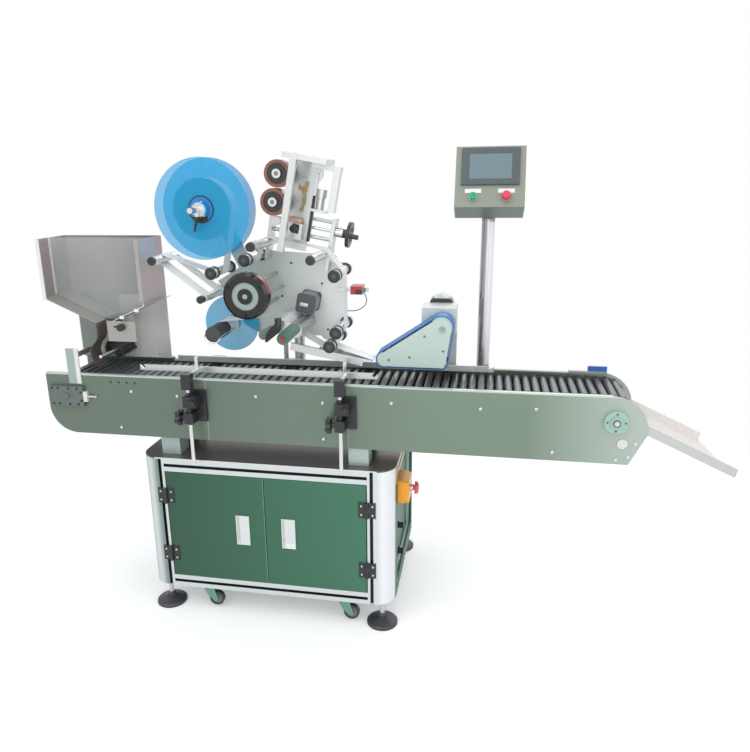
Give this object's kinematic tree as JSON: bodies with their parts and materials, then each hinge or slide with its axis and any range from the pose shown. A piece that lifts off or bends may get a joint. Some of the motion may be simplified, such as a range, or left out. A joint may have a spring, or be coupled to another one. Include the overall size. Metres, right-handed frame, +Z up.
{
  "type": "can labeling machine",
  "caption": "Horizontal wrap-around can labelling machine: wheeled cabinet, roller-chain conveyor, hopper, label head with reel and date coder, press belt, chute and control box.",
  "frame": {"origin": "middle of the footprint box on the floor", "axes": "+X along the conveyor from the hopper to the chute, +Y from the operator's side to the back, +Z up"},
  "size_m": [2.0044, 0.6029, 1.4208],
  "materials": {
    "clear_anodised": "satin",
    "door_green": "satin",
    "deck_steel": "brushed",
    "stainless": "brushed",
    "plated_steel": "polished",
    "dark_roller": "matte",
    "chain_steel": "oiled",
    "black_plastic": "matte",
    "rubber_black": "matte",
    "orange_plastic": "satin",
    "red_plastic": "gloss",
    "green_plastic": "gloss",
    "head_alloy": "satin",
    "blue_acrylic": "translucent",
    "clear_sheet": "clear",
    "label_paper": "matte",
    "ribbon_brown": "matte",
    "belt_blue": "matte",
    "cover_grey": "satin",
    "box_grey": "satin",
    "mint_zinc": "satin",
    "white_rubber": "matte"
  },
  "bodies": {
    "machine": {"cabinet_frame": "clear_anodised", "cabinet_panels": "door_green", "top_plate": "deck_steel", "hinge_leaves": "black_plastic", "levelling_feet": "rubber_black", "side_controls": "orange_plastic", "side_plates": "stainless", "conveyor_posts": "clear_anodised", "chain_plates": "chain_steel", "conveyor_rollers": "dark_roller", "conveyor_drive": "mint_zinc", "chute": "stainless", "guide_rails": "clear_anodised", "rail_clamps": "black_plastic", "hopper": "stainless", "hopper_window": "clear_sheet", "head_mast": "plated_steel", "press_frame": "cover_grey", "press_belt": "belt_blue", "control_box": "box_grey"},
    "head": {"head_plate": "head_alloy", "head_hardware": "clear_anodised", "head_motor": "black_plastic", "peel_plate": "clear_anodised", "label_web": "label_paper"},
    "coder": {"coder_frame": "clear_anodised"},
    "coder_wheel": {"coder_handwheel": "black_plastic"},
    "ribbon_upper": {"ribbon_reel_upper": "ribbon_brown"},
    "ribbon_lower": {"ribbon_reel_lower": "ribbon_brown"},
    "supply": {"supply_reel": "blue_acrylic", "label_roll": "label_paper"},
    "dancer": {"dancer_arm": "clear_anodised"},
    "driven_roller": {"drive_roller": "plated_steel"},
    "pressing_roller": {"nip_roller": "white_rubber"},
    "rewind": {"rewind_reel": "blue_acrylic"},
    "tension": {"tension_wheel": "black_plastic"},
    "left_door": {"door_left": "door_green"},
    "right_door": {"door_right": "door_green"},
    "estop": {"estop_button": "red_plastic"},
    "panel_stop": {"stop_button": "red_plastic"},
    "panel_start": {"start_button": "green_plastic"},
    "left_knob": {"star_knob_left": "black_plastic"},
    "right_knob": {"star_knob_right": "black_plastic"},
    "feeder": {"feed_wheel": "dark_roller"},
    "gate": {"gate_plate": "stainless"},
    "drive_axle": {"drive_shaft": "plated_steel"},
    "idler_axle": {"idler_shaft": "plated_steel"},
    "web_roller_1": {"guide_roller_1": "black_plastic"},
    "web_roller_2": {"guide_roller_2": "black_plastic"},
    "web_roller_3": {"guide_roller_3": "black_plastic"},
    "web_roller_4": {"guide_roller_4": "black_plastic"},
    "web_roller_5": {"guide_roller_5": "black_plastic"},
    "swivel_1": {"caster_fork_1": "mint_zinc"},
    "castor_1": {"caster_wheel_1": "rubber_black"},
    "swivel_2": {"caster_fork_2": "mint_zinc"},
    "castor_2": {"caster_wheel_2": "rubber_black"},
    "swivel_3": {"caster_fork_3": "mint_zinc"},
    "castor_3": {"caster_wheel_3": "rubber_black"},
    "swivel_4": {"caster_fork_4": "mint_zinc"},
    "castor_4": {"caster_wheel_4": "rubber_black"}
  },
  "joints": [
    {"name": "left_door_hinge", "type": "hinge", "parent": "machine", "child": "left_door", "pos_m": [-0.61415, -0.2596, 0.306], "axis": [0, 0, -1], "range_deg": [0, 110]},
    {"name": "right_door_hinge", "type": "hinge", "parent": "machine", "child": "right_door", "pos_m": [0.01585, -0.2596, 0.306], "axis": [0, 0, 1], "range_deg": [0, 110]},
    {"name": "swivel_turn_1", "type": "hinge", "parent": "machine", "child": "swivel_1", "pos_m": [-0.51415, -0.2185, 0.0757], "axis": [0, 0, 1], "continuous": true},
    {"name": "castor_roll_1", "type": "hinge", "parent": "swivel_1", "child": "castor_1", "pos_m": [-0.48915, -0.2185, 0.033], "axis": [0, 1, 0], "continuous": true},
    {"name": "swivel_turn_2", "type": "hinge", "parent": "machine", "child": "swivel_2", "pos_m": [-0.06715, -0.2185, 0.0757], "axis": [0, 0, 1], "continuous": true},
    {"name": "castor_roll_2", "type": "hinge", "parent": "swivel_2", "child": "castor_2", "pos_m": [-0.04215, -0.2185, 0.033], "axis": [0, 1, 0], "continuous": true},
    {"name": "swivel_turn_3", "type": "hinge", "parent": "machine", "child": "swivel_3", "pos_m": [-0.51415, 0.2595, 0.0757], "axis": [0, 0, 1], "continuous": true},
    {"name": "castor_roll_3", "type": "hinge", "parent": "swivel_3", "child": "castor_3", "pos_m": [-0.48915, 0.2595, 0.033], "axis": [0, 1, 0], "continuous": true},
    {"name": "swivel_turn_4", "type": "hinge", "parent": "machine", "child": "swivel_4", "pos_m": [-0.06715, 0.2595, 0.0757], "axis": [0, 0, 1], "continuous": true},
    {"name": "castor_roll_4", "type": "hinge", "parent": "swivel_4", "child": "castor_4", "pos_m": [-0.04215, 0.2595, 0.033], "axis": [0, 1, 0], "continuous": true},
    {"name": "estop_press", "type": "slide", "parent": "machine", "child": "estop", "axis": [-1, 0, 0], "range_m": [0, 0.005]},
    {"name": "panel_stop_press", "type": "slide", "parent": "machine", "child": "panel_stop", "axis": [0, 0.9135, -0.4067], "range_m": [0, 0.005]},
    {"name": "panel_start_press", "type": "slide", "parent": "machine", "child": "panel_start", "axis": [0, 0.9135, -0.4067], "range_m": [0, 0.005], "stiffness_N_per_m": 300, "springref_m": -0.001},
    {"name": "left_knob_turn", "type": "hinge", "parent": "machine", "child": "left_knob", "pos_m": [-0.51815, -0.2745, 0.674], "axis": [1, 0, 0], "continuous": true},
    {"name": "right_knob_turn", "type": "hinge", "parent": "machine", "child": "right_knob", "pos_m": [-0.06815, -0.2745, 0.674], "axis": [1, 0, 0], "continuous": true},
    {"name": "drive_spin", "type": "hinge", "parent": "machine", "child": "drive_axle", "pos_m": [0.68585, -0.1205, 0.713], "axis": [0, 1, 0], "continuous": true},
    {"name": "idler_spin", "type": "hinge", "parent": "machine", "child": "idler_axle", "pos_m": [-0.91435, -0.1205, 0.713], "axis": [0, 1, 0], "continuous": true},
    {"name": "feed_spin", "type": "hinge", "parent": "machine", "child": "feeder", "pos_m": [-0.81465, -0.0945, 0.828], "axis": [0, 1, 0], "continuous": true},
    {"name": "gate_slide", "type": "slide", "parent": "machine", "child": "gate", "axis": [1, 0, 0], "range_m": [-0.01, 0.012]},
    {"name": "head_lift", "type": "slide", "parent": "machine", "child": "head", "axis": [0, 0, 1], "range_m": [0, 0.06]},
    {"name": "coder_handwheel_turn", "type": "hinge", "parent": "head", "child": "coder_wheel", "pos_m": [-0.23089, -0.0755, 1.21822], "axis": [0.9816, 0, -0.1908], "range_deg": [-720, 720]},
    {"name": "coder_shift", "type": "slide", "parent": "head", "child": "coder", "axis": [0.9816, 0, -0.1908], "range_m": [-0.01, 0.01]},
    {"name": "ribbon_upper_spin", "type": "hinge", "parent": "coder", "child": "ribbon_upper", "pos_m": [-0.24272, -0.1245, 1.35652], "axis": [0, 1, 0], "continuous": true},
    {"name": "ribbon_lower_spin", "type": "hinge", "parent": "coder", "child": "ribbon_lower", "pos_m": [-0.25741, -0.1245, 1.28094], "axis": [0, 1, 0], "continuous": true},
    {"name": "supply_spin", "type": "hinge", "parent": "head", "child": "supply", "pos_m": [-0.46915, -0.1325, 1.262], "axis": [0, 1, 0], "continuous": true},
    {"name": "dancer_swing", "type": "hinge", "parent": "head", "child": "dancer", "pos_m": [-0.46615, -0.0645, 1.014], "axis": [0, 1, 0], "range_deg": [-10, 12], "deforming": ["label_web"]},
    {"name": "web_roller_spin_1", "type": "hinge", "parent": "head", "child": "web_roller_1", "pos_m": [-0.33115, -0.1345, 1.126], "axis": [0, 1, 0], "continuous": true},
    {"name": "web_roller_spin_2", "type": "hinge", "parent": "head", "child": "web_roller_2", "pos_m": [-0.43215, -0.1345, 1.088], "axis": [0, 1, 0], "continuous": true},
    {"name": "web_roller_spin_3", "type": "hinge", "parent": "head", "child": "web_roller_3", "pos_m": [-0.07615, -0.1345, 1.085], "axis": [0, 1, 0], "continuous": true},
    {"name": "web_roller_spin_4", "type": "hinge", "parent": "head", "child": "web_roller_4", "pos_m": [-0.07515, -0.1345, 0.926], "axis": [0, 1, 0], "continuous": true},
    {"name": "web_roller_spin_5", "type": "hinge", "parent": "head", "child": "web_roller_5", "pos_m": [-0.09415, -0.1345, 0.886], "axis": [0, 1, 0], "continuous": true},
    {"name": "driven_roller_spin", "type": "hinge", "parent": "head", "child": "driven_roller", "pos_m": [-0.19115, -0.1345, 0.931], "axis": [0, 1, 0], "continuous": true},
    {"name": "pressing_roller_spin", "type": "hinge", "parent": "head", "child": "pressing_roller", "pos_m": [-0.23346, -0.1345, 0.93999], "axis": [0, 1, 0], "continuous": true},
    {"name": "rewind_spin", "type": "hinge", "parent": "head", "child": "rewind", "pos_m": [-0.43615, -0.1345, 0.914], "axis": [0, 1, 0], "continuous": true},
    {"name": "tension_spin", "type": "hinge", "parent": "head", "child": "tension", "pos_m": [-0.32115, -0.2345, 1.031], "axis": [0, 1, 0], "continuous": true}
  ],
  "couplings": [
    {"joint": "pressing_roller_spin", "follows": "driven_roller_spin", "ratio": -0.90909},
    {"joint": "coder_handwheel_turn", "follows": "coder_shift", "rad_per_m": 1256.6}
  ]
}
